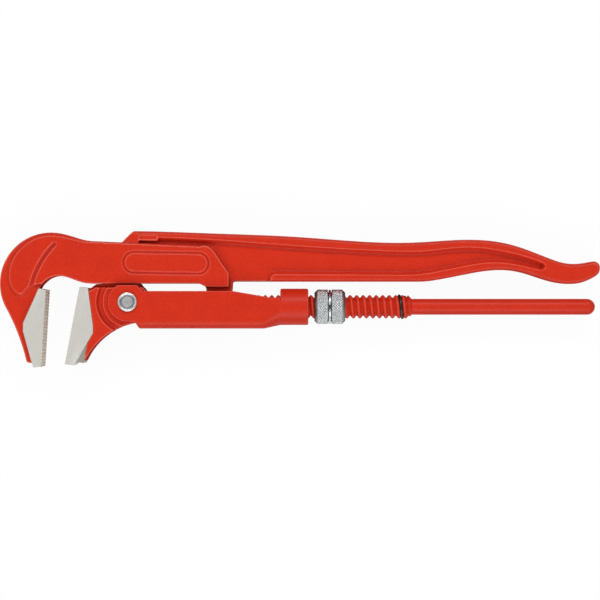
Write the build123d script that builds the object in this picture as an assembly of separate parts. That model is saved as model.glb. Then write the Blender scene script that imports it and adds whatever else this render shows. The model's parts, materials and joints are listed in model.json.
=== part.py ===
"""Swedish-pattern pipe wrench for one-inch pipe, lying on its side, in millimetres.

Design frame: x runs along the lower leg toward its handle end, y from the lower leg to the
upper leg, z toward the seen side, with the origin on the hinge pin. The finished pieces are
moved so that the origin is under the middle of the whole wrench.
"""
import math
import os

from build123d import *

# Lower leg: round thread, smooth handle and hinge
thread_major_d = 12.6
thread_depth = 1.45
thread_pitch = 3.5
thread_end_x = 103.0
thread_runout = 2.0
handle_rod_d = 8.5
handle_rod_end_x = 201.2
hinge_pin_d = 6.0
fork_slot_end_x = 8.5
fork_web = 3.5

# Fits and gaps
thread_play = 0.12
sleeve_play = 0.35
hub_play = 0.6
fork_play = 0.2
pin_play = 0.04
jaw_top_gap = 0.25
ring_play = 0.04

# Sleeve: folded channel, two ears and a collar
sheet = 3.1
channel_extra_depth = 1.85
channel_bend_r = 4.6
channel_top_y = 8.45
channel_rear_top_y = 4.9
channel_slope_start_x = 7.0
channel_slope_end_x = 27.6
ear_r = 10.4
ear_top_rise = 8.95
ear_slant = 3.2
transition_start_x = 24.0
collar_start_x = 32.6
collar_length = 15.0
collar_seam = 0.5
notch_x = -44.5
notch_run = 2.0
notch_lap = 0.3
ear_slant_foot = 4.1

# Rivet of the floating jaw
rivet_x = -48.5
rivet_y = 2.6
rivet_d = 8.0
rivet_head_d = 10.2
rivet_head_h = 1.1
rivet_dish_d = 6.6
rivet_dish_depth = 0.5

# Adjusting nut and wire rings
nut_start_x = 50.9
nut_length = 16.4
nut_d = 18.7
nut_chamfer = 1.5
nut_groove_width = 2.1
nut_groove_depth = 1.5
nut_wire_d = 1.3
nut_wire_open_deg = 14.0
stop_ring_grooves_in = 2
stop_ring_lift = 0.2
stop_wire_d = 1.6
stop_ring_turn = 0.93

# Upper leg
leg_underside_y = 12.4
panel_t = 14.0
arm_t = 11.0
handle_t = 12.0
handle_end_x = 203.4
web_t = 6.0
handle_edge_r = 2.0
pocket_slope = 1.4
boss_length = 10.8
boss_height = 2.8
boss_corner_r = 0.9
boss_rise = 0.3
boss_x = -37.9
boss_y = 36.7
boss_tilt_deg = -1.5
lug_t = 6.0
lug_top_half = 7.2
pad_dip_y = 10.6
pad_end_x = 5.2
hook_centre_x = -90.0
hook_centre_y = 13.0
hook_r = 26.7
groove_width = 2.2
groove_depth = 0.9
crescent_slope = 1.2
oval_length = 46.6
oval_height = 12.4
oval_rim = 1.3
oval_depth = 0.6
oval_tilt_deg = -1.0
oval_x = -28.2
oval_y = 23.4

# Jaws and their tooth blocks
jaw_t = 15.2
insert_t = 16.0
recess_r = 13.4
recess_slope = 3.4
ring_groove_depth = 0.9
ring_groove_width = 2.4
ring_groove_wall = 0.5
jaw_web_t = 7.0
jaw_shoulder_drop = 1.8
tooth_pitch = 1.7
tooth_depth = 0.3

# Side-view corners of the hook's tooth block, from its top rear corner round its V-shaped back
hook_block = {
    "top_rear": (-95.85, 9.75),
    "top_front": (-91.9, 9.0),
    "low_front": (-94.3, -31.9),
    "low_rear": (-98.8, -32.3),
    "back_low": (-104.2, -12.8),
    "back_high": (-104.1, -8.6),
}

# The same for the floating jaw's tooth block
jaw_block = {
    "top_front": (-74.3, 10.7),
    "top_rear": (-69.7, 10.0),
    "back_high": (-67.0, -10.4),
    "back_low": (-67.0, -13.9),
    "shoulder": (-70.204, -19.516),
    "foot": (-71.8, -29.9),
    "low_rear": (-75.9, -29.5),
    "low_corner": (-77.2, -31.1),
    "low_front": (-82.1, -30.5),
}

# Floating jaw's side view, from the rivet's centre
jaw_shape = {
    "back_middle": (-10.1, -16.7),
    "heel": (3.6, -11.3),
    "hub_middle": (8.6, -5.6),
    "hub_side": (10.1, 0.5),
    "hub_corner": (9.5, 6.0),
    "top_rear_x": 6.6,
    "top_front_x": -17.3,
    "front_step": (-20.2, 7.4),
    "shoulder_front": (-21.0, 5.6),
    "shoulder_rear_x": -17.0,
}

# Hook's outline, from the tip of its arm over the top to the saddle behind it
hook_shape = {
    "tip_rear": (-99.4, -30.2),
    "tip": (-102.7, -29.7),
    "arm_back": (-107.95, -12.9),
    "left": (-114.6, 1.0),
    "crown_fall": (-76.2, 36.9),
    "saddle": (-67.7, 35.1),
}

# Throat of the hook, from the shank's underside toward the tooth block
throat_shape = {
    "start_x": -68.3,
    "rise": (-76.9, 14.3),
    "top": (-85.0, 16.5),
    "fall": (-92.0, 14.3),
}

# Rear of the shank's raised pad
pad_shape = {
    "top": (-6.3, 32.5),
    "slant_start": (-3.4, 30.6),
    "slant_end_y": 17.9,
    "dip_start_x": -10.6,
    "dip_end_x": -6.9,
}

# Edge of the raised crescent, from the groove's foot round the lobe and along the crown
crescent_edge = {
    "foot": (-98.6, 11.6),
    "lobe_front": (-102.1, 8.4),
    "lobe": (-105.8, 5.6),
    "lobe_back": (-109.6, 7.6),
    "left": (-112.6, 14.0),
    "upper_left": (-111.4, 24.0),
    "shoulder": (-105.6, 32.4),
    "crown": (-93.1, 38.7),
    "fall": (-80.6, 37.8),
    "saddle": (-67.7, 34.6),
}

# Rest of the raised area, wide of the shank where the outline itself ends it
panel_rest = {
    "top_rear": (-10.0, 32.15),
    "over_pad": (-2.0, 36.0),
    "outer_top": (12.0, 36.0),
    "outer_low": (12.0, 5.0),
    "throat_low": (-93.5, 5.0),
    "throat_high": (-93.5, 12.3),
}

# Curved groove between crescent and shank
groove_path = {
    "top": (-87.0, 34.0),
    "middle": (-95.4, 23.0),
    "foot": (-100.3, 9.6),
}

# Handle's upper edge in front of the grip
handle_top = {
    "front": (-45.9, 40.45),
    "over_shank": (-10.2, 39.45),
    "over_nut": (43.0, 37.25),
}

# Upper edge of the grip, measured from the handle's end
grip_top = {
    "waist": (-99.4, 34.35),
    "swell": (-71.4, 35.85),
    "fall": (-50.0, 33.85),
    "slope": (-28.7, 26.5),
    "dip": (-15.9, 22.95),
    "tip": (-4.0, 24.25),
}

# Round of the handle's tip, measured from the handle's end
nose_y = 21.0
nose_under = (-4.2, 15.3)

# Lower edge of the grip from under the tip forward, measured from the handle's end
grip_bottom = {
    "heel": (-14.2, 12.25),
    "rise": (-26.3, 13.6),
    "slope": (-44.3, 18.95),
    "arch": (-54.1, 19.7),
    "fall": (-71.2, 17.4),
    "waist": (-89.2, 14.0),
    "straight": (-107.4, 13.45),
}

# Handle's front end, where it stands on the shank
handle_front = {
    "inner_x": -4.0,
    "inner_y": 30.0,
    "foot_x": -51.1,
    "foot_y": 33.0,
    "slant_y": 35.3,
}

# Upper edge of the pocket beside the web in front of the grip
pocket_top = {
    "front": (-43.0, 37.2),
    "over_nut": (43.0, 32.3),
}

# Upper edge of the pocket along the grip, measured from the handle's end
grip_pocket_top = {
    "waist": (-110.7, 29.6),
    "waist_end": (-96.4, 29.5),
    "swell": (-71.4, 31.7),
    "fall": (-53.7, 30.0),
}

# Round end of the pocket, measured from the handle's end, and its two ends, measured from that
pocket_end = (-29.5, 21.5)
pocket_end_top = (-1.5, 2.2)
pocket_end_low = (-2.9, -1.9)

# Lower edge of the pocket from the rear forward, measured from the handle's end
grip_pocket_bottom = {
    "slope": (-46.8, 22.8),
    "arch": (-55.9, 23.7),
    "fall": (-75.0, 21.2),
    "waist": (-96.4, 17.3),
    "straight": (-113.4, 17.0),
}

# Front of the rib under the pocket
rib_start = {
    "top": (30.2, 17.4),
    "round": (28.3, 16.5),
    "low": (27.6, 14.8),
}
pocket_below_y = 8.0

# Sizes that follow from the ones above
crest_r = thread_major_d / 2
bore_r = crest_r + sleeve_play
sleeve_half = bore_r + sheet
floor_outer_y = -(sleeve_half + channel_extra_depth)
hub_half = bore_r - hub_play
fork_half = crest_r
fork_slot_half = lug_t / 2 + fork_play
fork_end_x = fork_slot_end_x + fork_web
ear_top_y = rivet_y + ear_top_rise
jaw_top_y = leg_underside_y - jaw_top_gap
nut_middle_x = nut_start_x + nut_length / 2
collar_end_x = collar_start_x + collar_length


def outline(*edges):
    """Flat face inside a closed chain of edges."""
    return make_face(Curve() + list(edges))


def slab(face, thickness):
    """Face thickened evenly to both sides of the middle plane."""
    return extrude(face, thickness / 2, both=True)


def bar(radius, start_x, end_x):
    """Round bar along x on the lower leg's axis."""
    disc = Plane.YZ.offset(start_x) * Circle(radius)
    return extrude(disc, end_x - start_x)


def upright(radius, height, x=0.0, y=0.0):
    """Round bar along z, centred on the middle plane."""
    return Pos(x, y, 0) * Cylinder(radius, height)


def thread_turn(start_x, radius):
    """One turn of an off-centre circle twisted along x, in step with every other turn."""
    phase = 360.0 * start_x / thread_pitch
    ring = Rot(0, 0, phase) * Pos(thread_depth / 2, 0, 0) * Circle(radius)
    wire = ring.face().outer_wire()
    turn = Solid.extrude_linear_with_rotation(wire, (0, 0, 0), (0, 0, thread_pitch), 360.0)
    return Plane.YZ.offset(start_x) * turn


def thread_form(start_x, end_x, growth=0.0):
    """Right-hand round thread: whole turns joined end to end, then cut off at its end."""
    radius = crest_r - thread_depth / 2 + growth
    count = math.ceil((end_x - start_x) / thread_pitch)
    turns = [thread_turn(start_x + index * thread_pitch, radius) for index in range(count)]
    screw = Part() + turns
    return screw - bar(2 * crest_r, end_x, end_x + 2 * thread_pitch)


def wire_turn(wire_d, radius, start_x, turn, pitch):
    """Wire wound around x for part of a turn, on a helix or, with no pitch, flat."""
    if pitch:
        path = Helix(pitch, pitch * turn, radius)
    else:
        path = CenterArc((0, 0), radius, 0, 360 * turn)
    section = Plane(origin=path @ 0, z_dir=path % 0) * Circle(wire_d / 2)
    coil = sweep(section, path, is_frenet=True)
    return Plane.YZ.offset(start_x) * coil


def threaded_leg():
    """Fork, thread and round handle of the lower leg."""
    fork = slab(Rectangle(fork_end_x, 2 * crest_r, align=(Align.MIN, Align.CENTER)), 2 * fork_half)
    fork += upright(crest_r, 2 * fork_half)
    slot_face = Rectangle(fork_slot_end_x + 2 * crest_r, 4 * crest_r, align=(Align.MAX, Align.CENTER))
    fork -= Pos(fork_slot_end_x, 0, 0) * slab(slot_face, 2 * fork_slot_half)
    fork -= upright(hinge_pin_d / 2, 4 * fork_half)
    rod_r = handle_rod_d / 2
    screw = thread_form(fork_end_x, thread_end_x)
    taper = Cone(crest_r + thread_play, rod_r, thread_runout, align=(Align.CENTER, Align.CENTER, Align.MIN))
    taper = Plane.YZ.offset(thread_end_x - thread_runout) * taper
    screw -= bar(2 * crest_r, thread_end_x - thread_runout, thread_end_x) - taper
    rod = bar(rod_r, thread_end_x - thread_pitch, handle_rod_end_x - rod_r)
    rod += Pos(handle_rod_end_x - rod_r, 0, 0) * Sphere(rod_r)
    return fork + screw + rod


def hinge_pin():
    """Pin that joins the fork of the lower leg to the lug of the upper leg."""
    return upright(hinge_pin_d / 2, 2 * fork_half)


def stop_ring():
    """Wire lying in the thread groove where the nut's travel ends."""
    groove_r = crest_r - thread_depth
    wire_r = groove_r + stop_wire_d / 2 + stop_ring_lift
    turns = math.floor(thread_end_x / thread_pitch) - stop_ring_grooves_in
    start_x = (turns + 0.5) * thread_pitch
    return wire_turn(stop_wire_d, wire_r, start_x, stop_ring_turn, thread_pitch)


def channel_section(x, floor_y, bend_r, half):
    """Rounded U of the channel across the lower leg at one station."""
    top_y = ear_top_y + sheet
    shape = Polygon((top_y, half), (floor_y, half), (floor_y, -half), (top_y, -half), align=None)
    shape = fillet(shape.vertices().sort_by(Axis.X)[:2], bend_r)
    return Plane.YZ.offset(x) * shape


def channel_body(start_x, grow):
    """Channel that rounds off into the collar, drawn in by the given amount for its inside."""
    half = sleeve_half - grow
    floor_y = floor_outer_y + grow
    bend_r = channel_bend_r - grow
    straight = extrude(channel_section(start_x, floor_y, bend_r, half), transition_start_x - start_x)
    near = channel_section(transition_start_x, floor_y, bend_r, half)
    far = channel_section(collar_start_x, -half, 0.95 * half, half)
    return straight + loft([near.face(), far.face()])


def sleeve_side():
    """Side view of the sleeve without its collar."""
    left_reach = math.sqrt(ear_r ** 2 - ear_top_rise ** 2)
    slant_x = notch_x + ear_slant_foot
    below_y = floor_outer_y - sheet
    notch_y = rivet_y - ear_r - notch_lap
    notch_low_x = notch_x + notch_run * (notch_y - below_y) / (notch_y - floor_outer_y)
    ear_left = (rivet_x - left_reach, ear_top_y)
    ear_low = (rivet_x, rivet_y - ear_r)
    rim = ThreePointArc(ear_left, (rivet_x - ear_r, rivet_y), ear_low)
    rest = Polyline(
        ear_low,
        (notch_x, notch_y),
        (notch_low_x, below_y),
        (collar_start_x + sheet, below_y),
        (collar_start_x + sheet, channel_rear_top_y),
        (channel_slope_end_x, channel_rear_top_y),
        (channel_slope_start_x, channel_top_y),
        (slant_x, channel_top_y),
        (slant_x - ear_slant, ear_top_y),
        ear_left,
    )
    return outline(rim, rest)


def sleeve():
    """Folded channel with ears in front and a closed collar behind."""
    front_x = rivet_x - ear_r - sheet
    body = channel_body(front_x, 0.0)
    body = body & slab(sleeve_side(), 4 * sleeve_half)
    body += bar(sleeve_half, collar_start_x, collar_end_x)
    body -= channel_body(front_x - sheet, sheet)
    body -= bar(bore_r, collar_start_x - sheet, collar_end_x + sheet)
    seam = Box(collar_length + sheet, 2 * sleeve_half, collar_seam)
    body -= Pos(collar_start_x + collar_length / 2, sleeve_half, 0) * seam
    body -= upright(rivet_d / 2, 4 * sleeve_half, rivet_x, rivet_y)
    return body


def jaw_rivet():
    """Rivet through both ears, with a dished head on each side."""
    span = 2 * sleeve_half
    rivet = upright(rivet_d / 2, span)
    head = Cylinder(rivet_head_d / 2, rivet_head_h, align=(Align.CENTER, Align.CENTER, Align.MIN))
    head = fillet(head.edges().sort_by(Axis.Z)[-1], 0.6 * rivet_head_h)
    dish = Cylinder(rivet_dish_d / 2, rivet_dish_depth, align=(Align.CENTER, Align.CENTER, Align.MAX))
    head -= Pos(0, 0, rivet_head_h) * dish
    top = Pos(0, 0, sleeve_half) * head
    return Pos(rivet_x, rivet_y, 0) * (rivet + top + mirror(top, Plane.XY))


def adjusting_nut():
    """Round nut with a middle groove and the leg's thread cut through it."""
    profile = Polyline(
        (nut_start_x, 0),
        (nut_start_x, nut_d / 2 - nut_chamfer),
        (nut_start_x + nut_chamfer, nut_d / 2),
        (nut_middle_x - nut_groove_width / 2, nut_d / 2),
        (nut_middle_x - nut_groove_width / 2, nut_d / 2 - nut_groove_depth),
        (nut_middle_x + nut_groove_width / 2, nut_d / 2 - nut_groove_depth),
        (nut_middle_x + nut_groove_width / 2, nut_d / 2),
        (nut_start_x + nut_length - nut_chamfer, nut_d / 2),
        (nut_start_x + nut_length, nut_d / 2 - nut_chamfer),
        (nut_start_x + nut_length, 0),
        close=True,
    )
    blank = revolve(make_face(profile), Axis.X)
    return blank - thread_form(nut_start_x - thread_pitch, nut_start_x + nut_length + thread_pitch, thread_play)


def nut_ring():
    """Split wire ring in the nut's groove, open toward the seen side."""
    radius = nut_d / 2 - nut_groove_depth + nut_wire_d / 2 + ring_play
    ring = wire_turn(nut_wire_d, radius, nut_middle_x, 1 - nut_wire_open_deg / 360, 0.0)
    return ring.rotate(Axis.X, 90 + nut_wire_open_deg / 2)


def tooth_row(start, end, inward):
    """Saw-tooth points from start to end, each tooth cut inward to one steep flank."""
    length = math.dist(start, end)
    along = ((end[0] - start[0]) / length, (end[1] - start[1]) / length)
    across = (-along[1] * inward, along[0] * inward)
    count = int(length / tooth_pitch)
    step = length / count
    points = [start]
    for index in range(count):
        low = (index + 0.3) * step
        high = (index + 1) * step
        points.append(
            (
                start[0] + along[0] * low + across[0] * tooth_depth,
                start[1] + along[1] * low + across[1] * tooth_depth,
            )
        )
        points.append((start[0] + along[0] * high, start[1] + along[1] * high))
    return points


def hook_jaw_insert():
    """Tooth block of the hook, teeth biting toward the throat."""
    block = hook_block
    teeth = tooth_row(block["low_front"], block["top_front"], 1)
    corners = [block["top_rear"], block["back_high"], block["back_low"], block["low_rear"]]
    return slab(outline(Polyline(*teeth, *corners, close=True)), insert_t)


def lower_jaw_insert():
    """Tooth block of the floating jaw, teeth biting away from the throat, with a low foot behind."""
    block = jaw_block
    teeth = tooth_row(block["top_front"], block["low_front"], 1)
    corners = [block["low_corner"], block["low_rear"], block["back_low"], block["back_high"], block["top_rear"]]
    body = slab(outline(Polyline(*teeth, *corners, close=True)), insert_t)
    foot_corners = [block["low_rear"], block["foot"], block["shoulder"], block["back_low"]]
    foot = slab(outline(Polyline(*foot_corners, close=True)), jaw_t)
    return body + foot


def jaw_point(name):
    """Point of the floating jaw's side view in the design frame."""
    x, y = jaw_shape[name]
    return (rivet_x + x, rivet_y + y)


def jaw_outline():
    """Side view of the floating jaw around its tooth block."""
    block = jaw_block
    back = ThreePointArc(block["foot"], jaw_point("back_middle"), jaw_point("heel"))
    hub = ThreePointArc(jaw_point("heel"), jaw_point("hub_middle"), jaw_point("hub_side"))
    rest = Polyline(
        jaw_point("hub_side"),
        jaw_point("hub_corner"),
        (rivet_x + jaw_shape["top_rear_x"], jaw_top_y),
        (rivet_x + jaw_shape["top_front_x"], jaw_top_y),
        jaw_point("front_step"),
        block["top_rear"],
        block["back_high"],
        block["back_low"],
        block["shoulder"],
        block["foot"],
    )
    return outline(back, hub, rest)


def jaw_recess():
    """Sunk seat of an ear, with the ring groove around it, above the middle plane."""
    groove_z = hub_half - ring_groove_depth
    groove_start = recess_r + ring_groove_wall
    dish = Polyline(
        (0, hub_half),
        (recess_r, hub_half),
        (groove_start, groove_z),
        (groove_start + ring_groove_width, groove_z),
        (recess_r + recess_slope, jaw_t / 2),
        (recess_r + recess_slope, jaw_t),
        (0, jaw_t),
        close=True,
    )
    recess = revolve(Plane.XZ * make_face(dish), Axis.Z)
    return Pos(rivet_x, rivet_y, 0) * recess


def jaw_shoulder():
    """Step beside the jaw's middle web, below the surface that slides on the shank."""
    step_y = jaw_top_y - jaw_shoulder_drop
    rear_x = rivet_x + 2 * recess_r
    front = jaw_point("shoulder_front")
    step = Polyline(
        front,
        (rivet_x + jaw_shape["shoulder_rear_x"], step_y),
        (rear_x, step_y),
        (rear_x, leg_underside_y + sheet),
        (front[0], leg_underside_y + sheet),
        close=True,
    )
    return Pos(0, 0, jaw_web_t / 2) * extrude(make_face(step), jaw_t)


def lower_jaw():
    """Painted floating jaw: hub between the ears, thick arm in front."""
    jaw = slab(jaw_outline(), jaw_t)
    for cut in (jaw_recess(), jaw_shoulder()):
        jaw -= cut
        jaw -= mirror(cut, Plane.XY)
    jaw -= upright(rivet_d / 2 + pin_play, 2 * jaw_t, rivet_x, rivet_y)
    return jaw


def throat():
    """Curve of the hook's throat from the shank's underside to the tooth block."""
    return Spline(
        (throat_shape["start_x"], leg_underside_y),
        throat_shape["rise"],
        throat_shape["top"],
        throat_shape["fall"],
        hook_block["top_rear"],
        tangents=[(-1, 0), (-0.5, -0.85)],
    )


def hook_outline():
    """Side view of hook and shank, with the V-shaped seat of the tooth block."""
    hook = hook_shape
    pad = pad_shape
    diagonal = hook_r * math.sqrt(0.5)
    shoulder = (hook_centre_x - diagonal, hook_centre_y + diagonal)
    top = (hook_centre_x, hook_centre_y + hook_r)
    arm_back = ThreePointArc(hook["tip"], hook["arm_back"], hook["left"])
    over = ThreePointArc(hook["left"], shoulder, top)
    down = Spline(top, hook["crown_fall"], hook["saddle"], tangents=[(1, 0), (1, -0.06)])
    shank = Polyline(
        hook["saddle"],
        pad["top"],
        pad["slant_start"],
        (pad_end_x, pad["slant_end_y"]),
        (pad_end_x, pad_dip_y),
        (pad["dip_end_x"], pad_dip_y),
        (pad["dip_start_x"], leg_underside_y),
        (throat_shape["start_x"], leg_underside_y),
    )
    seat = Polyline(
        hook_block["top_rear"],
        hook_block["back_high"],
        hook_block["back_low"],
        hook["tip_rear"],
        hook["tip"],
    )
    return outline(arm_back, over, down, shank, throat(), seat)


def panel_region():
    """Area within which the hook's crescent and the shank stand proud of the arm."""
    crescent = Spline(*crescent_edge.values())
    rest = Polyline(crescent_edge["saddle"], *panel_rest.values(), crescent_edge["foot"])
    return outline(crescent, rest)


def is_crescent(edge):
    """True for the two long edges of the raised crescent, one on each side."""
    lobe = crescent_edge["lobe"]
    level = abs(edge.center().Z) > arm_t / 2
    return level and edge.distance_to(Vector(*lobe, edge.center().Z)) < crescent_slope


def hook_and_shank():
    """Hook arm and shank, with the raised panel, its groove and the plain oval."""
    side = hook_outline()
    body = slab(side, arm_t)
    panel = slab(side & panel_region(), panel_t)
    crest = [edge for edge in panel.edges().filter_by(GeomType.BSPLINE) if is_crescent(edge)]
    body += chamfer(crest, crescent_slope)
    path = ThreePointArc(*groove_path.values())
    groove = Pos(0, 0, panel_t / 2 - groove_depth) * extrude(trace(path, groove_width), panel_t)
    body -= groove
    body -= mirror(groove, Plane.XY)
    oval = SlotOverall(oval_length, oval_height)
    oval -= SlotOverall(oval_length - 2 * oval_rim, oval_height - 2 * oval_rim)
    place = Pos(oval_x, oval_y, panel_t / 2 - oval_depth) * Rot(0, 0, oval_tilt_deg)
    return body - place * extrude(oval, panel_t)


def from_end(*points):
    """Points measured from the handle's end, in the design frame."""
    return [(handle_end_x + x, y) for x, y in points]


def handle():
    """I-section handle: flanged outline with a pocket sunk into each side."""
    front = handle_front
    upper = from_end(*grip_top.values())
    lower = from_end(*grip_bottom.values())
    nose_end, under = from_end((0.0, nose_y), nose_under)
    straight = lower[-1]
    top = Spline(*handle_top.values(), *upper, tangents=[(1, 0), (1, 0.2)])
    nose = TangentArc(upper[-1], nose_end, tangent=(1, 0.2))
    tail = Spline(nose_end, under, lower[0], tangents=[nose % 1, (-1, -0.05)])
    bottom = Spline(*lower, tangents=[(-1, -0.05), (-1, 0)])
    end = Polyline(
        straight,
        (front["inner_x"], straight[1]),
        (front["inner_x"], front["inner_y"]),
        (front["foot_x"], front["foot_y"]),
        (front["foot_x"], front["slant_y"]),
        handle_top["front"],
    )
    body = slab(outline(top, nose, tail, bottom, end), handle_t)
    body = fillet(body.edges().filter_by(GeomType.BSPLINE), handle_edge_r)
    rim = Pos(0, 0, handle_t / 2) * handle_pocket(0.0)
    foot = Pos(0, 0, web_t / 2) * handle_pocket(pocket_slope)
    pocket = loft([foot.face(), rim.face()], ruled=True)
    body -= pocket
    body -= mirror(pocket, Plane.XY)
    boss = RectangleRounded(boss_length, boss_height, boss_corner_r)
    return body + Pos(boss_x, boss_y, 0) * Rot(0, 0, boss_tilt_deg) * slab(boss, handle_t + 2 * boss_rise)


def handle_pocket(inset):
    """Outline of the pocket beside the web, drawn in above, below and behind by the inset."""
    end_top = (pocket_end[0] + pocket_end_top[0], pocket_end[1] + pocket_end_top[1])
    end_low = (pocket_end[0] + pocket_end_low[0], pocket_end[1] + pocket_end_low[1])
    above = [*pocket_top.values(), *from_end(*grip_pocket_top.values(), end_top)]
    top = [(x, y - inset) for x, y in above]
    below = from_end(end_low, *grip_pocket_bottom.values())
    bottom = [(x, y + inset) for x, y in below]
    rib_top, rib_round, rib_low = [(x - inset, y + inset) for x, y in rib_start.values()]
    upper = Spline(*top)
    tail_x = handle_end_x + pocket_end[0] - inset
    end = ThreePointArc(top[-1], (tail_x, pocket_end[1]), bottom[0])
    lower = Spline(*bottom, tangents=[(-1, 0.25), (-1, 0)])
    straight = Line(bottom[-1], rib_top)
    start = ThreePointArc(rib_top, rib_round, rib_low)
    left = Polyline(rib_low, (rib_low[0], pocket_below_y), (top[0][0], pocket_below_y), top[0])
    return outline(upper, end, lower, straight, start, left)


def lug():
    """Tongue under the shank that carries the hinge pin inside the fork."""
    eye_r = crest_r - sleeve_play
    arm = Polygon(
        (-lug_top_half, leg_underside_y + sheet),
        (-lug_top_half, pad_dip_y),
        (-eye_r, 0),
        (eye_r, 0),
        (lug_top_half, pad_dip_y),
        (lug_top_half, leg_underside_y + sheet),
        align=None,
    )
    tongue = slab(arm, lug_t) + upright(eye_r, lug_t)
    return tongue - upright(hinge_pin_d / 2 + pin_play, 2 * lug_t)


def upper_leg():
    """Painted forging: hook, shank, handle and hinge lug in one piece."""
    return hook_and_shank() + handle() + lug()


def wrench():
    """Every piece by name, in the design frame."""
    return {
        "upper_leg": upper_leg(),
        "hook_jaw_insert": hook_jaw_insert(),
        "lower_jaw": lower_jaw(),
        "lower_jaw_insert": lower_jaw_insert(),
        "sleeve": sleeve(),
        "jaw_rivet": jaw_rivet(),
        "threaded_leg": threaded_leg(),
        "hinge_pin": hinge_pin(),
        "adjusting_nut": adjusting_nut(),
        "nut_ring": nut_ring(),
        "stop_ring": stop_ring(),
    }


def ground_shift(pieces):
    """Move that puts the origin under the middle of the whole wrench."""
    box = Compound(children=[Compound(list(piece.solids())) for piece in pieces.values()]).bounding_box()
    return Vector(-(box.min.X + box.max.X) / 2, -(box.min.Y + box.max.Y) / 2, -box.min.Z)


if __name__ == "__main__":
    os.makedirs("parts", exist_ok=True)
    pieces = wrench()
    shift = ground_shift(pieces)
    for name, piece in pieces.items():
        moved = Location(shift) * Compound(list(piece.solids()))
        export_step(moved, f"parts/{name}.step")
        print(name, len(moved.solids()), round(moved.volume, 1), moved.is_valid)
    print("origin of the design frame at", shift)
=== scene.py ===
"""Looks of a Swedish-pattern pipe wrench lying on its side on a white ground.

The painted forgings are the solids with a thick, rounded coat, the tooth blocks are ground
steel with broken edges, and the thread, the knurled nut and the rivet are modelled anew.
Pieces are drawn in millimetres from the hinge pin's centre and then put in the row frame.
"""
import json
import logging
import math
from dataclasses import dataclass
from enum import Enum

import bmesh
import bpy
from mathutils import Matrix, Vector

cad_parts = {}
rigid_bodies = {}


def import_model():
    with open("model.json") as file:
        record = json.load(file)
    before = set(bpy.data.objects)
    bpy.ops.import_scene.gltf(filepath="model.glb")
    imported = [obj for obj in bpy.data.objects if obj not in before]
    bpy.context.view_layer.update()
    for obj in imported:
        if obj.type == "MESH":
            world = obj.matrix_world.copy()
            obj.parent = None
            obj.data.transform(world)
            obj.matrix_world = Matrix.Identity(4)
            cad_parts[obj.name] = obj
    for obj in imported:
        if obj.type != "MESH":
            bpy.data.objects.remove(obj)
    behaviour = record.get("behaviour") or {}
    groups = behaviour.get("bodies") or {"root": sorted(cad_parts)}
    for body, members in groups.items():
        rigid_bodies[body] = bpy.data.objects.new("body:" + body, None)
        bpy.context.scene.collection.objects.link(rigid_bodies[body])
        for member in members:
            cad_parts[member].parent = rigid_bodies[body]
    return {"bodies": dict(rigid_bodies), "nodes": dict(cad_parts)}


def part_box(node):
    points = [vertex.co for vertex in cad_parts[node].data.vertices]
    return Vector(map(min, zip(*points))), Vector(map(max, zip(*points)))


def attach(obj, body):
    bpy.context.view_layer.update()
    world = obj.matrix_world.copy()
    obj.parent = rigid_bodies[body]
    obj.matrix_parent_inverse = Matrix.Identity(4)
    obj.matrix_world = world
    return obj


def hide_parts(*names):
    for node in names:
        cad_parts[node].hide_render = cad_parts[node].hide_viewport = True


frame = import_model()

MM = 0.001
JOIN_DISTANCE = 2e-6
SMOOTHING = 0.5
EDGE_REACH = 0.30
ALL_SMOOTH_DEG = 180.0

Socket = bpy.types.NodeSocket
Material = bpy.types.Material
Mesh = bmesh.types.BMesh
Pair = tuple[float, float]
Triple = tuple[float, float, float]
Colour = Triple
log = logging.getLogger("pipe_wrench")


class Body(Enum):
    """Moving bodies that the pieces ride on."""

    UPPER_LEG = "upper_leg"
    LOWER_LEG = "lower_leg"
    SLEEVE = "sleeve"
    LOWER_JAW = "lower_jaw"
    NUT = "nut"


class Slot(Enum):
    """Material slots of the record."""

    RED_PAINT = "red_paint"
    GROUND_STEEL = "ground_steel"
    ZINC_PLATE = "zinc_plate"
    DARK_WIRE = "dark_wire"


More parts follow.
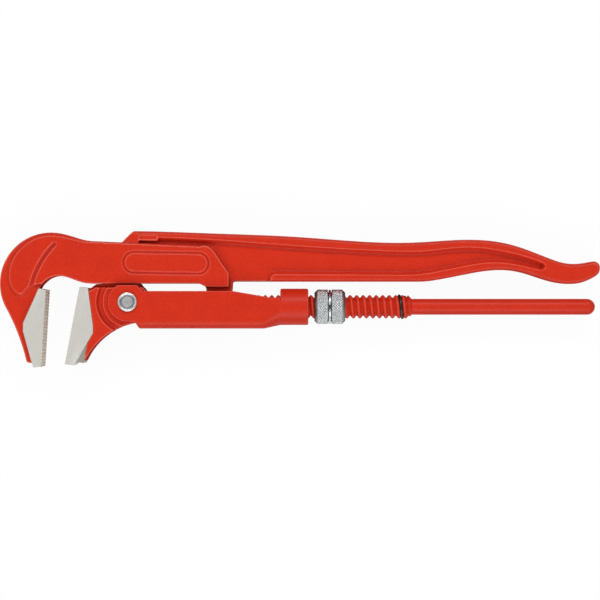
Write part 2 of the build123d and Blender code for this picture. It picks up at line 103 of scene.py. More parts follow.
class NodeBench:
    """Node tree of one material, with the few operations that the finishes share."""

    def __init__(self, name: str) -> None:
        """Starts an empty node tree.

        Args:
            name: Name of the material.
        """
        self.material = bpy.data.materials.new(name)
        self.material.use_nodes = True
        self.tree = self.material.node_tree
        self.tree.nodes.clear()
        self.place = self.tree.nodes.new("ShaderNodeTexCoord").outputs["Object"]

    def node(self, kind: str, **settings: object) -> bpy.types.Node:
        """Adds a node.

        Args:
            kind: Blender's name of the node type.
            settings: Properties of the node.

        Returns:
            The new node.
        """
        made = self.tree.nodes.new(kind)
        for key, value in settings.items():
            setattr(made, key, value)
        return made

    def link(self, source: Socket, target: Socket) -> None:
        """Joins two sockets."""
        self.tree.links.new(source, target)

    def noise(self, grain_mm: float, detail: float, stretch: Triple = (1.0, 1.0, 1.0)) -> Socket:
        """Cloudy pattern on the piece's own coordinates.

        Args:
            grain_mm: Size of one cloud.
            detail: Number of finer octaves.
            stretch: Frequency along each axis against the others.

        Returns:
            Socket with values around one half.
        """
        mapping = self.node("ShaderNodeMapping")
        mapping.inputs["Scale"].default_value = stretch
        self.link(self.place, mapping.inputs["Vector"])
        cloud = self.node("ShaderNodeTexNoise")
        cloud.inputs["Scale"].default_value = 1.0 / (grain_mm * MM)
        cloud.inputs["Detail"].default_value = detail
        self.link(mapping.outputs["Vector"], cloud.inputs["Vector"])
        return cloud.outputs["Fac"]

    def attribute(self, name: str) -> Socket:
        """Reads a value stored on the mesh."""
        return self.node("ShaderNodeAttribute", attribute_name=name).outputs["Fac"]

    def ranged(self, value: Socket, span: Pair, low: float, high: float) -> Socket:
        """Moves a span of values onto another, and holds it there.

        Args:
            value: Socket to read.
            span: Values that become low and high.
            low: New value at the span's start.
            high: New value at the span's end.

        Returns:
            Socket with the new value.
        """
        made = self.node("ShaderNodeMapRange")
        made.inputs["From Min"].default_value = span[0]
        made.inputs["From Max"].default_value = span[1]
        made.inputs["To Min"].default_value = low
        made.inputs["To Max"].default_value = high
        self.link(value, made.inputs["Value"])
        return made.outputs["Result"]

    def greater(self, first: Socket, second: Socket) -> Socket:
        """Finds the greater of two values.

        Args:
            first: Socket with one value.
            second: Socket with the other.

        Returns:
            Socket with the greater.
        """
        made = self.node("ShaderNodeMath", operation="MAXIMUM")
        self.link(first, made.inputs[0])
        self.link(second, made.inputs[1])
        return made.outputs[0]

    def share(self, value: Socket, part: float) -> Socket:
        """Takes a fixed part of a value.

        Args:
            value: Socket to read.
            part: Part of it to take.

        Returns:
            Socket with that part.
        """
        made = self.node("ShaderNodeMath", operation="MULTIPLY")
        made.inputs[1].default_value = part
        self.link(value, made.inputs[0])
        return made.outputs[0]

    def mixed(self, factor: Socket, first: Socket | Colour, second: Colour) -> Socket:
        """Goes from one colour to another.

        Args:
            factor: Socket with 0 for the first colour and 1 for the second.
            first: Colour, or socket with one.
            second: Colour to go to.

        Returns:
            Socket with the colour.
        """
        made = self.node("ShaderNodeMix", data_type="RGBA")
        self.link(factor, made.inputs[0])
        if isinstance(first, tuple):
            made.inputs[6].default_value = (*first, 1.0)
        else:
            self.link(first, made.inputs[6])
        made.inputs[7].default_value = (*second, 1.0)
        return made.outputs[2]

    def bumped(
        self, height: Socket, strength: float, depth_mm: float, under: Socket | None = None
    ) -> Socket:
        """Relief from a height pattern.

        Args:
            height: Socket with the pattern.
            strength: Share of the relief that shows.
            depth_mm: Height of the pattern's full range.
            under: Normal of a coarser relief below it.

        Returns:
            Socket with the normal.
        """
        made = self.node("ShaderNodeBump")
        made.inputs["Strength"].default_value = strength
        made.inputs["Distance"].default_value = depth_mm * MM
        self.link(height, made.inputs["Height"])
        if under is not None:
            self.link(under, made.inputs["Normal"])
        return made.outputs["Normal"]

    def surface(self, colour: Socket, roughness: Socket, normal: Socket, **fixed: float) -> Material:
        """Closes the tree with a surface shader.

        Args:
            colour: Socket with the base colour.
            roughness: Socket with the roughness.
            normal: Socket with the relief's normal.
            fixed: Values that are the same all over, by socket name with _ for a space.

        Returns:
            The finished material.
        """
        shader = self.node("ShaderNodeBsdfPrincipled")
        for key, value in fixed.items():
            shader.inputs[key.replace("_", " ")].default_value = value
        self.link(colour, shader.inputs["Base Color"])
        self.link(roughness, shader.inputs["Roughness"])
        self.link(normal, shader.inputs["Normal"])
        end = self.node("ShaderNodeOutputMaterial")
        self.link(shader.outputs["BSDF"], end.inputs["Surface"])
        return self.material


@dataclass(frozen=True)
class RedPaint:
    """Thick red powder coat with a painted highlight on edges, painted shade in hollows and on the sideways
    flanks, and a rougher coat on the flanks.
    """

    name: str = "red_powder_coat"
    colour: Colour = (0.665, 0.031, 0.0085)
    shade: Colour = (0.50, 0.018, 0.006)
    # Painted highlight: lighter red on convex edges.
    edge: Colour = (0.83, 0.15, 0.095)
    # Painted shade for hollows and sideways flanks.
    painted_shade: Colour = (0.34, 0.009, 0.004)
    cloud_mm: float = 9.0
    peel_mm: float = 1.3
    grain_mm: float = 0.7
    specular: float = 0.2

    def material(self) -> Material:
        """Builds the coat.

        Returns:
            Material that reads the edge and flank values stored on the painted meshes.
        """
        bench = NodeBench(self.name)
        cloud = bench.noise(self.cloud_mm, 3.0)
        grain = bench.noise(self.grain_mm, 2.0)
        peel = bench.noise(self.peel_mm, 1.0)
        edge = bench.attribute("edge")
        colour = bench.mixed(bench.ranged(cloud, (0.35, 0.65), 0.0, 0.22), self.colour, self.shade)
        colour = bench.mixed(bench.ranged(grain, (0.4, 0.7), 0.0, 0.6), colour, self.shade)
        # Painted highlight on convex edges.
        colour = bench.mixed(bench.ranged(edge, (0.3, 1.0), 0.0, 0.7), colour, self.edge)
        # Painted shade in hollows.
        colour = bench.mixed(bench.ranged(edge, (-0.2, -1.0), 0.0, 0.8), colour, self.painted_shade)
        flank = bench.attribute("flank")
        # Painted shade on the sideways flanks; the flanks are also rougher.
        colour = bench.mixed(bench.ranged(flank, (0.75, 1.0), 0.0, 0.38), colour, self.painted_shade)
        flank_roughness = bench.ranged(flank, (0.55, 0.9), 0.0, 0.95)
        roughness = bench.greater(bench.ranged(grain, (0.3, 0.7), 0.34, 0.46), flank_roughness)
        normal = bench.bumped(peel, 0.22, 0.10)
        normal = bench.bumped(grain, 0.16, 0.05, normal)
        return bench.surface(colour, roughness, normal, Specular_IOR_Level=self.specular)


@dataclass(frozen=True)
class GroundSteel:
    """Bare steel ground one way, warmer on the teeth, with painted shade on the teeth's flanks and darker on
    the set-back foot.
    """

    name: str = "ground_bare_steel"
    colour: Colour = (0.66, 0.645, 0.60)
    shade: Colour = (0.56, 0.545, 0.50)
    teeth: Colour = (0.82, 0.72, 0.62)
    # Painted shade on the teeth's flanks.
    tooth_flank_shade: Colour = (0.69, 0.60, 0.515)
    set_back_foot: Colour = (0.31, 0.295, 0.26)
    line_mm: float = 0.35
    line_stretch: Triple = (1.0, 0.05, 1.0)
    cloud_mm: float = 6.0
    metal: float = 0.35

    def material(self) -> Material:
        """Builds the ground finish.

        Returns:
            Material with fine lines along the tooth blocks.
        """
        bench = NodeBench(self.name)
        lines = bench.noise(self.line_mm, 3.0, self.line_stretch)
        cloud = bench.noise(self.cloud_mm, 3.0)
        edge = bench.attribute("edge")
        colour = bench.mixed(bench.ranged(lines, (0.35, 0.75), 0.0, 0.45), self.colour, self.shade)
        colour = bench.mixed(bench.ranged(cloud, (0.5, 0.8), 0.0, 0.4), colour, self.shade)
        colour = bench.mixed(bench.ranged(edge, (-0.2, -1.0), 0.0, 0.9), colour, self.teeth)
        # Painted shade on the teeth's flanks.
        colour = bench.mixed(bench.ranged(edge, (0.2, 1.0), 0.0, 0.8), colour, self.tooth_flank_shade)
        # Darker on the set-back foot.
        colour = bench.mixed(bench.ranged(edge, (1.2, 2.0), 0.0, 1.0), colour, self.set_back_foot)
        roughness = bench.ranged(lines, (0.3, 0.7), 0.46, 0.60)
        normal = bench.bumped(lines, 0.10, 0.03)
        return bench.surface(colour, roughness, normal, Metallic=self.metal)


@dataclass(frozen=True)
class Zinc:
    """Bright zinc plate on turned steel, with a faint mottle and painted shade in the furrows and hollows
    that the mesh marks.
    """

    name: str = "bright_zinc"
    colour: Colour = (0.78, 0.80, 0.80)
    shade: Colour = (0.58, 0.60, 0.61)
    # Painted shade for furrows and hollows.
    furrow_shade: Colour = (0.10, 0.11, 0.12)
    mottle_mm: float = 1.1
    fine_mm: float = 0.25
    gloss: float = 0.36
    gloss_range: float = 0.16
    relief: float = 0.25

    def material(self) -> Material:
        """Builds the plated finish.

        Returns:
            Material of the plate.
        """
        bench = NodeBench(self.name)
        mottle = bench.noise(self.mottle_mm, 4.0)
        fine = bench.noise(self.fine_mm, 2.0)
        edge = bench.attribute("edge")
        colour = bench.mixed(bench.ranged(mottle, (0.4, 0.72), 0.0, 0.8), self.colour, self.shade)
        # Painted shade where the mesh marks furrows and hollows.
        colour = bench.mixed(bench.ranged(edge, (-0.3, -1.0), 0.0, 0.85), colour, self.furrow_shade)
        roughness = bench.ranged(mottle, (0.3, 0.7), self.gloss, self.gloss + self.gloss_range)
        normal = bench.bumped(mottle, self.relief, 0.06)
        normal = bench.bumped(fine, 0.10, 0.02, normal)
        return bench.surface(colour, roughness, normal, Metallic=1.0)


@dataclass(frozen=True)
class DarkWire:
    """Dark oiled spring wire, a little cloudy."""

    name: str = "dark_spring_wire"
    colour: Colour = (0.045, 0.036, 0.033)
    shade: Colour = (0.13, 0.105, 0.095)
    cloud_mm: float = 0.8
    fine_mm: float = 0.2
    metal: float = 0.9

    def material(self) -> Material:
        """Builds the wire finish.

        Returns:
            Material of the wire.
        """
        bench = NodeBench(self.name)
        cloud = bench.noise(self.cloud_mm, 3.0)
        fine = bench.noise(self.fine_mm, 2.0)
        colour = bench.mixed(bench.ranged(cloud, (0.45, 0.75), 0.0, 0.7), self.colour, self.shade)
        roughness = bench.ranged(cloud, (0.3, 0.7), 0.30, 0.48)
        normal = bench.bumped(fine, 0.15, 0.02)
        return bench.surface(colour, roughness, normal, Metallic=self.metal)


@dataclass(frozen=True)
class WhiteGround:
    """White paper ground that keeps a faint share of the shadow."""

    name: str = "white_ground"
    colour: Colour = (0.95, 0.95, 0.95)
    bounce: Colour = (0.16, 0.16, 0.16)
    glow: float = 0.95
    mirrored_glow: float = 0.1

    def material(self) -> Material:
        """Builds the ground.

        Returns:
            Material that is white to the camera, pale in reflections and dim to other light.
        """
        bench = NodeBench(self.name)
        path = bench.node("ShaderNodeLightPath")
        direct = bench.greater(path.outputs["Is Camera Ray"], path.outputs["Is Transmission Ray"])
        pale = bench.greater(direct, path.outputs["Is Glossy Ray"])
        mirrored = bench.share(path.outputs["Is Glossy Ray"], self.mirrored_glow)
        glowing = bench.greater(bench.share(direct, self.glow), mirrored)
        paper = bench.node("ShaderNodeBsdfDiffuse")
        bench.link(bench.mixed(pale, self.bounce, self.colour), paper.inputs["Color"])
        white = bench.node("ShaderNodeEmission")
        white.inputs["Strength"].default_value = 1.0
        mix = bench.node("ShaderNodeMixShader")
        bench.link(glowing, mix.inputs[0])
        bench.link(paper.outputs["BSDF"], mix.inputs[1])
        bench.link(white.outputs["Emission"], mix.inputs[2])
        end = bench.node("ShaderNodeOutputMaterial")
        bench.link(mix.outputs["Shader"], end.inputs["Surface"])
        return bench.material


def hinge_centre() -> Vector:
    """Centre of the hinge pin in the row frame, where the drawing frame has its origin."""
    low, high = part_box("hinge_pin")
    return (low + high) / 2


def to_row_frame(bm: Mesh) -> None:
    """Puts a mesh drawn in millimetres from the hinge pin into the row frame."""
    place = Matrix.Translation(hinge_centre()) @ Matrix.Scale(MM, 4)
    bmesh.ops.transform(bm, matrix=place, verts=bm.verts)


def merged_copy(node: str) -> Mesh:
    """Copies a CAD node's mesh with its loose triangles joined.

    Args:
        node: Name of the node.

    Returns:
        The copy, in the row frame.
    """
    bm = bmesh.new()
    bm.from_mesh(frame["nodes"][node].data)
    bmesh.ops.remove_doubles(bm, verts=bm.verts, dist=JOIN_DISTANCE)
    return bm


def finished_mesh(bm: Mesh, name: str, kind: str, **settings: object) -> bpy.types.Mesh:
    """Runs one modifier on a mesh and keeps the result.

    Args:
        bm: Mesh to work on, which is used up.
        name: Name of the new mesh.
        kind: Modifier type.
        settings: Properties of the modifier.

    Returns:
        The changed mesh.
    """
    blank = bpy.data.meshes.new(name + "_blank")
    bm.to_mesh(blank)
    bm.free()
    holder = bpy.data.objects.new(name + "_holder", blank)
    bpy.context.scene.collection.objects.link(holder)
    modifier = holder.modifiers.new("work", kind)
    for key, value in settings.items():
        setattr(modifier, key, value)
    graph = bpy.context.evaluated_depsgraph_get()
    made = bpy.data.meshes.new_from_object(holder.evaluated_get(graph))
    bpy.data.objects.remove(holder)
    bpy.data.meshes.remove(blank)
    made.name = name
    return made


def softened(node: str, voxel_mm: float, rounds: int, keep: float) -> Mesh:
    """Rounds a solid's edges as a forging under thick paint, and stores where edges were.

    Args:
        node: CAD node to copy.
        voxel_mm: Size of the skin's facets.
        rounds: Number of smoothing rounds.
        keep: Share of the facets to keep.

    Returns:
        Mesh with the point value edge, above 0 on edges and below 0 in hollows.
    """
    solid = merged_copy(node)
    skin = finished_mesh(solid, node + "_skin", "REMESH", mode="VOXEL", voxel_size=voxel_mm * MM)
    bm = bmesh.new()
    bm.from_mesh(skin)
    bpy.data.meshes.remove(skin)
    bm.normal_update()
    before = [(vert.co.copy(), vert.normal.copy()) for vert in bm.verts]
    for _ in range(rounds):
        bmesh.ops.smooth_vert(
            bm, verts=bm.verts, factor=SMOOTHING, use_axis_x=True, use_axis_y=True, use_axis_z=True
        )
    edge = bm.verts.layers.float.new("edge")
    reach = EDGE_REACH * voxel_mm * MM
    for vert, (spot, normal) in zip(bm.verts, before):
        vert[edge] = max(-1.0, min(1.0, (spot - vert.co).dot(normal) / reach))
    thin = finished_mesh(bm, node + "_thin", "DECIMATE", ratio=keep)
    bm = bmesh.new()
    bm.from_mesh(thin)
    bpy.data.meshes.remove(thin)
    return bm


def mark_flanks(bm: Mesh) -> None:
    """Stores how far each point faces sideways, for painted shade and a rougher coat on the flanks.

    Args:
        bm: Mesh that gets the point value flank.
    """
    bm.normal_update()
    flank = bm.verts.layers.float.new("flank")
    for vert in bm.verts:
        vert[flank] = 1.0 - abs(vert.normal.z)


def make_piece(
    name: str, bm: Mesh, finish: Material, body: Body, node: str, crease_deg: float = 40.0
) -> None:
    """Makes a piece that stands for a CAD node and rides on its body.

    Args:
        name: Name of the piece.
        bm: Its mesh in the row frame, which is used up.
        finish: Its material.
        body: Body that carries it.
        node: CAD node that it stands for.
        crease_deg: Angle from which an edge is drawn sharp.
    """
    mark_flanks(bm)
    mesh = bpy.data.meshes.new(name)
    bm.to_mesh(mesh)
    bm.free()
    mesh.materials.append(finish)
    mesh.shade_smooth()
    mesh.set_sharp_from_angle(angle=math.radians(crease_deg))
    piece = bpy.data.objects.new(name, mesh)
    bpy.context.scene.collection.objects.link(piece)
    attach(piece, body.value)
    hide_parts(node)
    log.info("%s: %d faces on %s", name, len(mesh.polygons), body.value)


def dress_node(node: str, finish: Material) -> None:
    """Gives a CAD node that stays in view its finish.

    Args:
        node: Name of the node.
        finish: Its material.
    """
    shown = frame["nodes"][node]
    shown.material_slots[0].material = finish
    log.info("%s: kept from the solid", node)


def spun(points: list[Pair], steps: int, closed: bool) -> Mesh:
    """Turns a profile about the leg's axis.

    Args:
        points: Profile as pairs of place along x and radius, in millimetres.
        steps: Facets around.
        closed: Whether the profile runs back to its start.

    Returns:
        The turned mesh, closed and facing outwards.
    """
    bm = bmesh.new()
    verts = [bm.verts.new((x, radius, 0.0)) for x, radius in points]
    edges = [bm.edges.new(pair) for pair in zip(verts, verts[1:])]
    if closed:
        edges.append(bm.edges.new((verts[-1], verts[0])))
    bmesh.ops.spin(
        bm,
        geom=verts + edges,
        cent=(0, 0, 0),
        axis=(1, 0, 0),
        angle=2 * math.pi,
        steps=steps,
        use_merge=True,
    )
    bmesh.ops.remove_doubles(bm, verts=bm.verts, dist=1e-4)
    bmesh.ops.recalc_face_normals(bm, faces=bm.faces)
    return bm


def arc(centre: Pair, radius: float, start_deg: float, end_deg: float, count: int) -> list[Pair]:
    """Points on a round of a turned profile.

    Args:
        centre: Centre along x and in radius.
        radius: Radius of the round.
        start_deg: First angle from the x direction.
        end_deg: Last angle.
        count: Number of stretches.

    Returns:
        The points in order.
    """
    spots = []
    for index in range(count + 1):
        angle = math.radians(start_deg + (end_deg - start_deg) * index / count)
        spots.append((centre[0] + radius * math.cos(angle), centre[1] + radius * math.sin(angle)))
    return spots


@dataclass
class ToothBlock:
    """Ground tooth block with broken edges, its tooth tips on a line along the mouth."""

    node: str
    name: str
    body: Body
    tips: tuple[Pair, Pair]
    edge_break: float = 0.14
    flat_deg: float = 1.0
    crease_deg: float = 30.0
    side_z: float = 7.8
    mouth_tilt: float = 0.3
    side_tilt: float = 0.9

    def build(self, steel: Material) -> None:
        """Copies the solid block and breaks its edges.

        Args:
            steel: Finish of the block.
        """
        bm = merged_copy(self.node)
        limit = math.radians(self.flat_deg)
        flat = [edge for edge in bm.edges if edge.is_manifold and edge.calc_face_angle() < limit]
        bmesh.ops.dissolve_edges(bm, edges=flat, use_verts=True)
        bmesh.ops.bevel(
            bm,
            geom=bm.edges[:],
            offset=self.edge_break * MM,
            offset_type="OFFSET",
            affect="EDGES",
            segments=2,
            profile=0.5,
            material=-1,
            clamp_overlap=True,
        )
        self.mark_teeth(bm)
        make_piece(self.name, bm, steel, self.body, self.node, self.crease_deg)

    def mark_teeth(self, bm: Mesh) -> None:
        """Stores -1 on faces toward the mouth, 1 on the teeth's flanks and 2 on a set-back foot.

        Args:
            bm: Block that gets the face value edge.
        """
        bm.normal_update()
        edge = bm.faces.layers.float.new("edge")
        start, end = (Vector((*tip, 0.0)) for tip in self.tips)
        along = (end - start).normalized()
        out = Vector((along.y, -along.x, 0.0))
        home = hinge_centre()
        for face in bm.faces:
            height = abs(face.calc_center_median().z - home.z)
            if face.normal.dot(out) > self.mouth_tilt:
                face[edge] = 1.0 if abs(face.normal.dot(along)) > self.mouth_tilt else -1.0
            elif abs(face.normal.z) > self.side_tilt and height < self.side_z * MM:
                face[edge] = 2.0


@dataclass
class UpperLeg:
    """Hook, shank and handle in one painted forging, with its tooth block."""

    facet: float = 0.42
    rounds: int = 7
    keep: float = 0.5
    tips: tuple[Pair, Pair] = ((-94.3, -31.9), (-91.9, 9.0))

    def build(self, paint: Material, steel: Material) -> None:
        """Builds the forging and its tooth block.

        Args:
            paint: Finish of the forging.
            steel: Finish of the tooth block.
        """
        coat = softened("upper_leg", self.facet, self.rounds, self.keep)
        body = Body.UPPER_LEG
        make_piece("upper_leg_forging", coat, paint, body, "upper_leg", ALL_SMOOTH_DEG)
        ToothBlock("hook_jaw_insert", "hook_tooth_block", body, self.tips).build(steel)


@dataclass
class FloatingJaw:
    """Painted floating jaw with its tooth block."""

    facet: float = 0.32
    rounds: int = 6
    keep: float = 0.7
    tips: tuple[Pair, Pair] = ((-74.3, 10.7), (-82.1, -30.5))
    top_y: float = 11.6
    top_reach: float = 0.4
    top_front_x: float = -65.80
    top_crown: float = 0.2
    top_slope: float = 0.05

    def build(self, paint: Material, steel: Material) -> None:
        """Builds the jaw and its tooth block.

        Args:
            paint: Finish of the jaw.
            steel: Finish of the tooth block.
        """
        coat = softened("lower_jaw", self.facet, self.rounds, self.keep)
        self.crown_top(coat)
        body = Body.LOWER_JAW
        make_piece("floating_jaw_forging", coat, paint, body, "lower_jaw", ALL_SMOOTH_DEG)
        ToothBlock("lower_jaw_insert", "jaw_tooth_block", body, self.tips).build(steel)

    def crown_top(self, coat: Mesh) -> None:
        """Raises the top of the web a little, less toward its front end, which swings up.

        Args:
            coat: Mesh of the jaw, which is changed.
        """
        home = hinge_centre()
        for vert in coat.verts:
            spot = (vert.co - home) / MM
            over = max(0.0, min(1.0, (spot.y - self.top_y) / self.top_reach))
            rise = max(0.0, min(self.top_crown, self.top_slope * (spot.x - self.top_front_x)))
            vert.co.y += over * rise * MM


@dataclass
class Sleeve:
    """Pressed channel with its collar, and the rivet through its ears."""

    facet: float = 0.38
    rounds: int = 4
    keep: float = 0.7
    rivet_x: float = -48.5
    rivet_y: float = 2.6
    rivet_r: float = 4.0
    head_r: float = 5.1
    ear_z: float = 9.75
    head_h: float = 1.1
    roll_r: float = 0.5
    dish_z: float = 0.3
    dish: tuple[Pair, ...] = ((0.1, 3.85), (0.0, 3.6), (0.06, 3.2), (0.2, 2.2), (0.3, 1.1), (0.33, 0.0))
    shade_ring: Pair = (3.1, 3.9)
    shade_mark: float = -0.8
    rivet_facets: int = 72

    def build(self, paint: Material, zinc: Material) -> None:
        """Builds the channel and the rivet.

        Args:
            paint: Finish of the channel.
            zinc: Finish of the rivet.
        """
        coat = softened("sleeve", self.facet, self.rounds, self.keep)
        make_piece("sleeve_pressing", coat, paint, Body.SLEEVE, "sleeve", ALL_SMOOTH_DEG)
        self.rivet(zinc)

    def rivet(self, zinc: Material) -> None:
        """Turns the rivet with a rolled rim and a shallow dish on each side.

        Args:
            zinc: Finish of the rivet.
        """
        roll = self.roll_r
        rim = arc((self.ear_z + self.head_h - roll, self.head_r - roll), roll, 90, -70, 10)
        head = [(self.ear_z, self.rivet_r), (self.ear_z, self.head_r), *rim]
        low_x = self.ear_z + self.dish_z
        front = head + [(low_x + rise, radius) for rise, radius in self.dish]
        back = [(-x, radius) for x, radius in reversed(front)]
        bm = spun(back + front, self.rivet_facets, False)
        # Painted shade in the dish's groove and where the head meets the ear.
        edge = bm.verts.layers.float.new("edge")
        for vert in bm.verts:
            radius = math.hypot(vert.co.y, vert.co.z)
            shaded = self.shade_ring[0] < radius < self.shade_ring[1] or radius > self.head_r - 0.05
            vert[edge] = self.shade_mark if shaded else 0.0
        upright = Matrix.Rotation(math.radians(-90), 4, "Y")
        place = Matrix.Translation((self.rivet_x, self.rivet_y, 0)) @ upright
        bmesh.ops.transform(bm, matrix=place, verts=bm.verts)
        to_row_frame(bm)
        make_piece("jaw_rivet_heads", bm, zinc, Body.SLEEVE, "jaw_rivet")


@dataclass
class LowerLeg:
    """Fork, rolled thread and round handle of the lower leg, with its rings and pin."""

    crest_r: float = 6.3
    depth: float = 1.45
    pitch: float = 3.5
    first_turn: int = 3
    last_x: float = 103.0
    runout: float = 2.0
    rod_r: float = 4.25
    rod_end_x: float = 201.2
    fork_end_x: float = 12.0
    steps: int = 56
    stretches: int = 12
    crest_shape: float = 2.5
    crest_highlight: float = 0.55
    valley_shade: float = 1.2
    turn_join: float = 0.01
    runout_sink: float = 0.3
    rod_facets: int = 64
    rod_rings: int = 24
    tip_rings: int = 12
    fork_trim: float = 0.01
    crease_deg: float = 50.0

    def build(self, paint: Material, wire: Material, steel: Material) -> None:
        """Builds the leg and dresses the stop ring and the hinge pin.

        Args:
            paint: Finish of the leg.
            wire: Finish of the stop ring.
            steel: Finish of the hinge pin.
        """
        leg = self.rod()
        for part in (self.thread(), self.fork()):
            mesh = bpy.data.meshes.new("leg_part")
            part.to_mesh(mesh)
            part.free()
            leg.from_mesh(mesh)
            bpy.data.meshes.remove(mesh)
        self.mark_valleys(leg)
        to_row_frame(leg)
        body = Body.LOWER_LEG
        make_piece("lower_leg_rod", leg, paint, body, "threaded_leg", self.crease_deg)
        dress_node("stop_ring", wire)
        dress_node("hinge_pin", steel)

    def mark_valleys(self, leg: Mesh) -> None:
        """Stores the thread's crests as edges, for a painted highlight, and its valleys as hollows, for
        painted shade.

        Args:
            leg: Mesh in millimetres that gets the point value edge.
        """
        edge = leg.verts.layers.float.new("edge")
        for vert in leg.verts:
            if self.fork_end_x < vert.co.x < self.last_x - self.runout:
                share = (self.crest_r - math.hypot(vert.co.y, vert.co.z)) / self.depth
                # Painted highlight on the crests, painted shade in the valleys.
                vert[edge] = self.crest_highlight - self.valley_shade * min(1.0, share)

    def thread(self) -> Mesh:
        """Winds one pitch of the thread's profile along the leg and runs it out into the rod.

        Returns:
            The closed thread, in millimetres.
        """
        bm = bmesh.new()
        verts = []
        for index in range(self.stretches + 1):
            share = index / self.stretches
            radius = self.crest_r - self.depth * abs(math.sin(math.pi * share)) ** self.crest_shape
            verts.append(bm.verts.new(((self.first_turn + share) * self.pitch, radius, 0.0)))
        edges = [bm.edges.new(pair) for pair in zip(verts, verts[1:])]
        bmesh.ops.spin(
            bm,
            geom=verts + edges,
            cent=(0, 0, 0),
            axis=(1, 0, 0),
            dvec=(self.pitch / self.steps, 0, 0),
            angle=2 * math.pi,
            steps=self.steps,
        )
        turn = bm.verts[:] + bm.edges[:] + bm.faces[:]
        turns = math.floor(self.last_x / self.pitch) - self.first_turn + 1
        for index in range(1, turns):
            copy = bmesh.ops.duplicate(bm, geom=turn)["geom"]
            moved = [item for item in copy if isinstance(item, bmesh.types.BMVert)]
            bmesh.ops.translate(bm, verts=moved, vec=(self.pitch * index, 0, 0))
        bmesh.ops.remove_doubles(bm, verts=bm.verts, dist=self.turn_join)
        for vert in bm.verts:
            self.run_out(vert)
        rims = [edge for edge in bm.edges if edge.is_boundary]
        bmesh.ops.holes_fill(bm, edges=rims, sides=0)
        bmesh.ops.recalc_face_normals(bm, faces=bm.faces)
        return bm

    def run_out(self, vert: bmesh.types.BMVert) -> None:
        """Draws the thread's last turn in until it is below the rod's surface.

        Args:
            vert: Point of the thread, which is moved.
        """
        start = self.last_x - self.runout
        if vert.co.x <= start:
            return
        share = (vert.co.x - start) / self.runout
        limit = self.crest_r + (self.rod_r - self.crest_r) * share
        limit = max(limit, self.rod_r - self.runout_sink)
        radius = math.hypot(vert.co.y, vert.co.z)
        if radius > limit:
            vert.co.y *= limit / radius
            vert.co.z *= limit / radius

    def rod(self) -> Mesh:
        """Turns the smooth round handle with its half-round end.

        Returns:
            The closed rod, in millimetres.
        """
        start = self.last_x - self.pitch
        tip = arc((self.rod_end_x - self.rod_r, 0.0), self.rod_r, 90, 0, self.tip_rings)
        points = [(start, 0.0), (start, self.rod_r)]
        for index in range(1, self.rod_rings):
            points.append((start + (tip[0][0] - start) * index / self.rod_rings, self.rod_r))
        return spun(points + tip, self.rod_facets, False)

    def fork(self) -> Mesh:
        """Keeps the solid's forked eye.

        Returns:
            The closed fork, in millimetres.
        """
        bm = merged_copy("threaded_leg")
        home = Matrix.Scale(1 / MM, 4) @ Matrix.Translation(-hinge_centre())
        bmesh.ops.transform(bm, matrix=home, verts=bm.verts)
        everything = bm.verts[:] + bm.edges[:] + bm.faces[:]
        cut = bmesh.ops.bisect_plane(
            bm,
            geom=everything,
            plane_co=(self.fork_end_x - self.fork_trim, 0, 0),
            plane_no=(1, 0, 0),
            clear_outer=True,
        )
        rim = [item for item in cut["geom_cut"] if isinstance(item, bmesh.types.BMEdge)]
        bmesh.ops.holes_fill(bm, edges=rim, sides=0)
        return bm


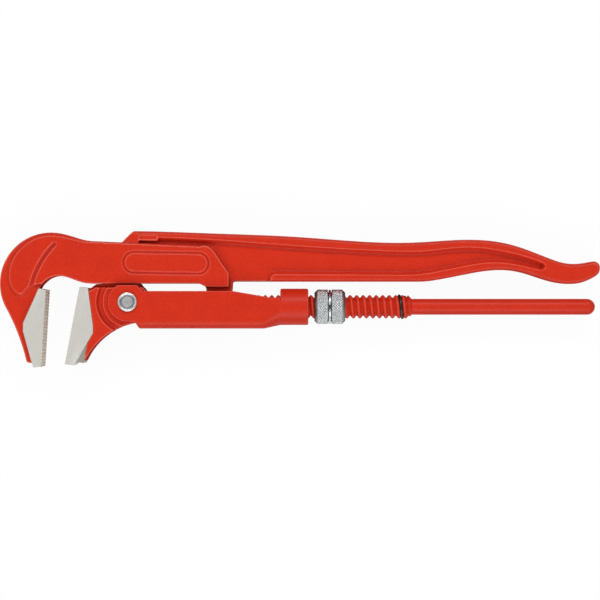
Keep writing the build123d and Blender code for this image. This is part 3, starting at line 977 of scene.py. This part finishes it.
@dataclass
class AdjustingNut:
    """Knurled nut with a middle groove, and the split wire ring in it."""

    start_x: float = 50.9
    length: float = 16.4
    radius: float = 9.35
    chamfer: float = 1.5
    bore_r: float = 6.42
    groove_width: float = 2.1
    groove_depth: float = 1.5
    edge_break: float = 0.25
    band_inset: float = 0.1
    face_break: float = 0.12
    knurl_count: int = 40
    knurl_depth: float = 0.5
    knurl_shape: float = 1.3
    facets_per_knurl: int = 6
    rows: int = 30
    chamfer_reach: float = 0.3
    plain_shade: float = 0.4
    crease_deg: float = 60.0

    def build(self, zinc: Material, ring: Material) -> None:
        """Builds the nut and dresses its ring.

        Args:
            zinc: Finish of the nut.
            ring: Finish of the wire ring.
        """
        bm = spun(self.profile(), self.knurl_count * self.facets_per_knurl, True)
        # Painted shade in the knurl's furrows, on the chamfers and a little on the plain faces.
        edge = bm.verts.layers.float.new("edge")
        for vert in bm.verts:
            vert[edge] = -self.knurl(vert)
        to_row_frame(bm)
        make_piece("knurled_nut", bm, zinc, Body.NUT, "adjusting_nut", self.crease_deg)
        dress_node("nut_ring", ring)

    def bands(self) -> tuple[Pair, Pair]:
        """Places the two knurled bands.

        Returns:
            Start and end along x of each band.
        """
        middle = self.start_x + self.length / 2
        half = self.groove_width / 2 + self.edge_break
        inset = self.chamfer + self.band_inset
        end_x = self.start_x + self.length
        return (self.start_x + inset, middle - half), (middle + half, end_x - inset)

    def profile(self) -> list[Pair]:
        """Closed profile of the nut, dense along the knurled bands.

        Returns:
            Points as pairs of place along x and radius.
        """
        first, second = self.bands()
        end_x = self.start_x + self.length
        low = self.radius - self.chamfer
        face_r = low - self.edge_break
        floor = self.radius - self.groove_depth
        lip = self.radius - self.edge_break
        groove_start = first[1] + self.edge_break
        groove_end = second[0] - self.edge_break
        points = [(self.start_x, self.bore_r), (self.start_x, face_r), (self.start_x + self.face_break, low)]
        points += self.row(first)
        points += [(groove_start, lip), (groove_start, floor), (groove_end, floor), (groove_end, lip)]
        points += self.row(second)
        points += [(end_x - self.face_break, low), (end_x, face_r), (end_x, self.bore_r)]
        return points

    def row(self, band: Pair) -> list[Pair]:
        """Evenly spaced points across one knurled band."""
        step = (band[1] - band[0]) / self.rows
        return [(band[0] + step * index, self.radius) for index in range(self.rows + 1)]

    def knurl(self, vert: bmesh.types.BMVert) -> float:
        """Sinks the furrows of two crossing screw lines into the bands.

        Args:
            vert: Point of the plain nut, which is moved.

        Returns:
            Painted shade there, which on the bands is the share of a furrow's full depth.
        """
        radius = math.hypot(vert.co.y, vert.co.z)
        if radius < self.radius - 0.01:
            # Painted shade: full on the chamfers, a little on the other plain faces.
            on_chamfer = radius > self.radius - self.chamfer - self.chamfer_reach
            return 1.0 if on_chamfer else self.plain_shade
        turn = math.atan2(vert.co.z, vert.co.y) / (2 * math.pi) * self.knurl_count
        run = vert.co.x / (2 * math.pi * self.radius / self.knurl_count)
        right = abs(2 * ((turn + run) % 1.0) - 1)
        left = abs(2 * ((turn - run) % 1.0) - 1)
        share = max(right, left) ** self.knurl_shape
        factor = 1 - self.knurl_depth * share / radius
        vert.co.y *= factor
        vert.co.z *= factor
        return share


@dataclass(frozen=True)
class SoftLamp:
    """Area lamp that faces the wrench, with its place and face in metres and its power in watts."""

    name: str
    spot: Triple
    size: Pair
    power: float

    def hang(self) -> None:
        """Hangs the lamp in the room."""
        light = bpy.data.lights.new(self.name, "AREA")
        light.shape = "RECTANGLE"
        light.size, light.size_y = self.size
        light.energy = self.power
        lamp = bpy.data.objects.new(self.name, light)
        lamp.location = self.spot
        lamp.rotation_euler = (-Vector(self.spot)).to_track_quat("-Z", "Y").to_euler()
        bpy.context.scene.collection.objects.link(lamp)


@dataclass
class Studio:
    """White ground, soft lamps and the camera straight above the wrench."""

    camera_spot: Triple = (43.148, 3.645, 965.0)
    lens: float = 108.0
    sensor: float = 36.0
    ground_half: float = 3.0
    room_levels: tuple[Pair, ...] = (
        (0.0, 0.03),
        (0.25, 0.10),
        (0.45, 0.62),
        (0.75, 0.62),
        (0.93, 0.26),
    )
    lamps: tuple[SoftLamp, ...] = (
        SoftLamp("key_strip", (0.0, 0.95, 0.85), (1.6, 0.3), 9.0),
        SoftLamp("left_soft", (-1.3, 0.3, 0.8), (0.8, 0.8), 2.0),
        SoftLamp("low_soft", (0.1, -1.15, 0.85), (2.0, 1.0), 13.0),
    )

    def build(self) -> None:
        """Sets the stage, the light and the camera."""
        self.ground()
        self.world()
        for lamp in self.lamps:
            lamp.hang()
        self.camera()
        bpy.context.scene.view_settings.view_transform = "Standard"

    def ground(self) -> None:
        """Lays the white ground under the wrench."""
        bm = bmesh.new()
        bmesh.ops.create_grid(bm, x_segments=1, y_segments=1, size=self.ground_half)
        mesh = bpy.data.meshes.new("ground")
        bm.to_mesh(mesh)
        bm.free()
        mesh.materials.append(WhiteGround().material())
        ground = bpy.data.objects.new("ground", mesh)
        bpy.context.scene.collection.objects.link(ground)

    def world(self) -> None:
        """Lights the room by its height levels: brightest half-way up, dim toward the horizon."""
        world = bpy.data.worlds.new("studio_room")
        world.use_nodes = True
        tree = world.node_tree
        tree.nodes.clear()
        place = tree.nodes.new("ShaderNodeTexCoord")
        split = tree.nodes.new("ShaderNodeSeparateXYZ")
        ramp = tree.nodes.new("ShaderNodeValToRGB")
        room = tree.nodes.new("ShaderNodeBackground")
        end = tree.nodes.new("ShaderNodeOutputWorld")
        stops = ramp.color_ramp.elements
        for index, (height, level) in enumerate(self.room_levels):
            stop = stops[index] if index < 2 else stops.new(height)
            stop.position = height
            stop.color = (level, level, level, 1.0)
        tree.links.new(place.outputs["Generated"], split.inputs["Vector"])
        tree.links.new(split.outputs["Z"], ramp.inputs["Fac"])
        tree.links.new(ramp.outputs["Color"], room.inputs["Color"])
        tree.links.new(room.outputs["Background"], end.inputs["Surface"])
        bpy.context.scene.world = world

    def camera(self) -> None:
        """Puts the camera straight above the wrench, in the photograph's frame."""
        data = bpy.data.cameras.new("camera")
        data.sensor_width = self.sensor
        data.lens = self.lens
        data.dof.use_dof = False
        camera = bpy.data.objects.new("camera", data)
        camera.location = hinge_centre() + Vector(self.camera_spot) * MM
        bpy.context.scene.collection.objects.link(camera)
        bpy.context.scene.camera = camera


def clear_start_objects() -> None:
    """Removes whatever the empty file came with."""
    own = [*frame["nodes"].values(), *frame["bodies"].values()]
    own_names = {item.name for item in own}
    for item in list(bpy.data.objects):
        if item.name not in own_names:
            bpy.data.objects.remove(item)


def main() -> None:
    """Builds the stage and the wrench, piece by piece."""
    logging.basicConfig(level=logging.INFO, format="%(name)s: %(message)s")
    clear_start_objects()
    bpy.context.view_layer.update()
    Studio().build()
    paint = RedPaint().material()
    steel = GroundSteel().material()
    zinc = Zinc().material()
    ring = Zinc("bright_ring_wire", gloss=0.2).material()
    rivet_steel = Zinc("rivet_steel", (0.90, 0.91, 0.90), mottle_mm=1.6, gloss=0.3, relief=1.0)
    rivet = rivet_steel.material()
    wire = DarkWire().material()
    UpperLeg().build(paint, steel)
    FloatingJaw().build(paint, steel)
    Sleeve().build(paint, rivet)
    LowerLeg().build(paint, wire, steel)
    AdjustingNut().build(zinc, ring)


if __name__ == "__main__":
    main()
